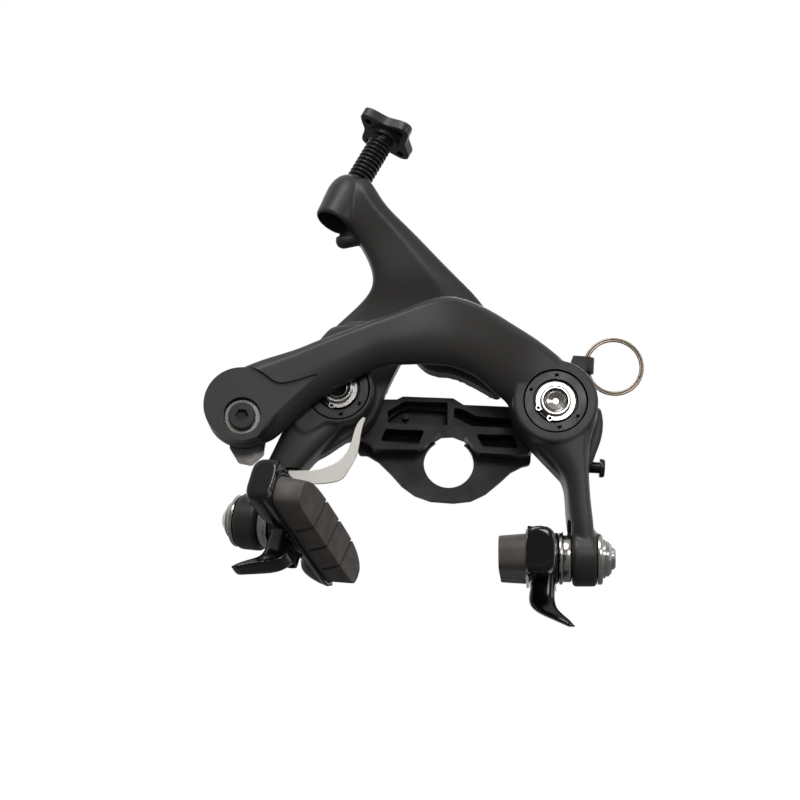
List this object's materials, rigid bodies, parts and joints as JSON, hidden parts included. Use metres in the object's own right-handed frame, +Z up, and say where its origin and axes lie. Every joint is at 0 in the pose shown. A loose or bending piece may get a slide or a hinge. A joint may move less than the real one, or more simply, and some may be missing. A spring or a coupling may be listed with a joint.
{
  "type": "direct mount rim brake caliper",
  "caption": "Dual pivot rim brake caliper with linked curved arms, adjuster, angled pads on slotted clamps and a pull-off mounting jig.",
  "frame": {"origin": "midway between the two pivot axes, on the plane where the pivot sleeves seat on the frame", "axes": "+X to the right seen from the frame, +Y away from the frame, +Z up towards the cable"},
  "size_m": [0.1136, 0.0524, 0.1379],
  "materials": {
    "arm_finish": "satin dark grey anodised look",
    "bright_steel": "bright turned steel",
    "dark_steel": "black oxide",
    "spring_steel": "drawn wire",
    "leaf_steel": "brushed stainless strip",
    "nickel": "warm nickel plated wire",
    "holder_black": "gloss black",
    "pad_rubber": "ribbed brake rubber",
    "jig_plastic": "matte black moulded",
    "bush_plastic": "low friction bush",
    "cover_plastic": "matte black moulded"
  },
  "bodies": {
    "frame_side": {"left_pivot_sleeve": "bright_steel", "left_mount_bolt": "bright_steel", "left_circlip": "bright_steel", "left_thrust_washer": "bright_steel", "right_pivot_sleeve": "bright_steel", "right_mount_bolt": "bright_steel", "right_circlip": "bright_steel", "right_thrust_washer": "bright_steel"},
    "front_arm_body": {"front_arm": "arm_finish", "right_pivot_bush": "bush_plastic", "right_spring_cover": "cover_plastic", "right_torsion_spring": "spring_steel", "link_pin": "bright_steel", "anchor_bolt": "dark_steel", "anchor_washer": "dark_steel", "clamp_plate": "bright_steel", "anchor_nut": "bright_steel"},
    "rear_arm_body": {"rear_arm": "arm_finish", "left_pivot_bush": "bush_plastic", "left_spring_cover": "cover_plastic", "left_torsion_spring": "spring_steel", "return_leaf": "leaf_steel"},
    "roller": {"link_roller": "bush_plastic"},
    "centring": {"centring_screw": "dark_steel"},
    "housing_stop": {"cable_ferrule": "dark_steel"},
    "adjuster": {"adjuster_knob": "holder_black", "adjuster_barrel": "dark_steel"},
    "left_pad_slider": {"left_pad_bolt": "bright_steel", "left_pad_nut": "bright_steel", "left_dish_washer": "dark_steel", "left_ball_washer": "bright_steel", "left_outer_washer": "bright_steel"},
    "left_pad": {"left_pad_holder": "holder_black", "left_brake_pad": "pad_rubber", "left_pad_set_screw": "bright_steel"},
    "right_pad_slider": {"right_pad_bolt": "bright_steel", "right_pad_nut": "bright_steel", "right_dish_washer": "dark_steel", "right_ball_washer": "bright_steel", "right_outer_washer": "bright_steel"},
    "right_pad": {"right_pad_holder": "holder_black", "right_brake_pad": "pad_rubber", "right_pad_set_screw": "bright_steel"},
    "jig": {"jig_plate": "jig_plastic"},
    "ring": {"pull_ring": "nickel"}
  },
  "joints": [
    {"name": "front_arm_swing", "type": "hinge", "parent": "frame_side", "child": "front_arm_body", "pos_m": [0.028, 0.008, 0], "axis": [0, 1, 0], "range_deg": [0, 14], "stiffness_Nm_per_rad": 1, "springref_deg": -20.05},
    {"name": "rear_arm_swing", "type": "hinge", "parent": "frame_side", "child": "rear_arm_body", "pos_m": [-0.028, 0.008, 0], "axis": [0, 1, 0], "range_deg": [-14, 0], "stiffness_Nm_per_rad": 1, "springref_deg": 20.05},
    {"name": "roller_spin", "type": "hinge", "parent": "front_arm_body", "child": "roller", "pos_m": [0, 0.0111, 0.013], "axis": [0, 1, 0], "continuous": true},
    {"name": "centring_turn", "type": "hinge", "parent": "front_arm_body", "child": "centring", "pos_m": [0.0383, 0.009, -0.0151], "axis": [1, 0, 0], "range_deg": [-1080, 720]},
    {"name": "housing_stop_slide", "type": "slide", "parent": "rear_arm_body", "child": "housing_stop", "axis": [0.391, 0.2147, 0.895], "range_m": [-0.006, 0.004]},
    {"name": "adjuster_turn", "type": "hinge", "parent": "housing_stop", "child": "adjuster", "pos_m": [-0.02097, 0.01464, 0.07335], "axis": [0.391, 0.2147, 0.895], "range_deg": [-1662.54, 1108.69]},
    {"name": "jig_pull", "type": "slide", "parent": "frame_side", "child": "jig", "axis": [0, 1, 0], "range_m": [0, 0.03]},
    {"name": "ring_swing", "type": "hinge", "parent": "jig", "child": "ring", "pos_m": [0.03635, 0.022, 0.0151], "axis": [0, 0, 1], "range_deg": [-15, 70]},
    {"name": "left_pad_height", "type": "slide", "parent": "rear_arm_body", "child": "left_pad_slider", "axis": [0.174, 0.2493, 0.9527], "range_m": [-0.0025, 0.0025]},
    {"name": "left_pad_tilt", "type": "hinge", "parent": "left_pad_slider", "child": "left_pad", "pos_m": [-0.0342, 0.0058, -0.0356], "axis": [0.9419, -0.3243, -0.0872], "range_deg": [-8, 8]},
    {"name": "right_pad_height", "type": "slide", "parent": "front_arm_body", "child": "right_pad_slider", "axis": [-0.0556, -0.0671, 0.9962], "range_m": [-0.0025, 0.0025]},
    {"name": "right_pad_tilt", "type": "hinge", "parent": "right_pad_slider", "child": "right_pad", "pos_m": [0.0234, 0.008, -0.0398], "axis": [-0.9974, 0.0488, -0.0523], "range_deg": [-8, 8]}
  ],
  "couplings": [
    {"joint": "rear_arm_swing", "follows": "front_arm_swing", "ratio": -1},
    {"joint": "adjuster_turn", "follows": "housing_stop_slide", "rad_per_m": 4833.2}
  ]
}
